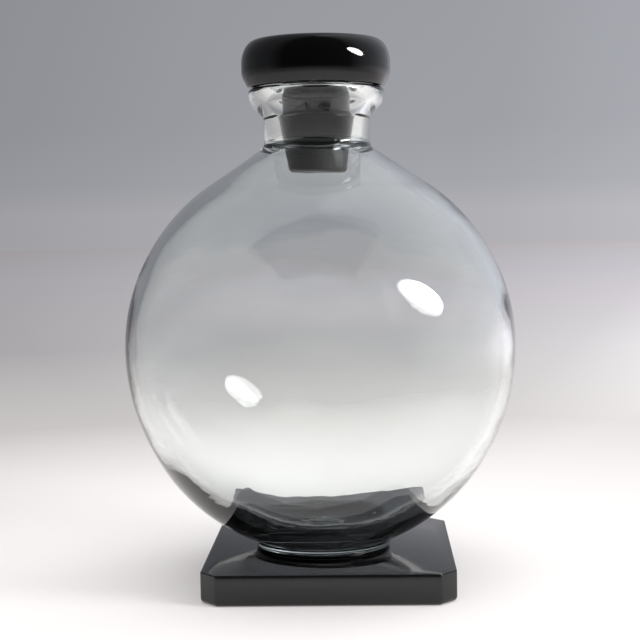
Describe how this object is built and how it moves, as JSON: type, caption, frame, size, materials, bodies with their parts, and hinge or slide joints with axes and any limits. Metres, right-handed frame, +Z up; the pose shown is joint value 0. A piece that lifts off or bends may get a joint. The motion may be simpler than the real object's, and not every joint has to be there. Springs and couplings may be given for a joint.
{
  "type": "round decanter with stopper",
  "caption": "Spherical clear glass decanter with a short flared neck, a black glass disc-knob stopper and a square black glass plinth with clipped corners.",
  "frame": {"origin": "the point on the plinth's underside straight below the axis of the bulb, the neck and the stopper", "axes": "+Z up along the axis of the bulb and neck; +X and +Y square to the plinth's sides; the plinth's centre lies 2.6 mm along +X from the axis"},
  "size_m": [0.1396, 0.1396, 0.1926],
  "materials": {
    "clear_glass": "clear, fire-polished, slightly wavy as hand-blown glass is",
    "black_glass": "opaque black, polished, with faint wear on the edges",
    "clear_cement": "clear cured cement with a few trapped bubbles"
  },
  "bodies": {
    "decanter": {"plinth": "black_glass", "cement_film": "clear_cement", "bulb": "clear_glass"},
    "stopper": {"stopper": "black_glass"}
  },
  "joints": [
    {"name": "stopper_lift", "type": "slide", "parent": "decanter", "child": "stopper", "axis": [0, 0, 1], "range_m": [0, 0.06]}
  ]
}
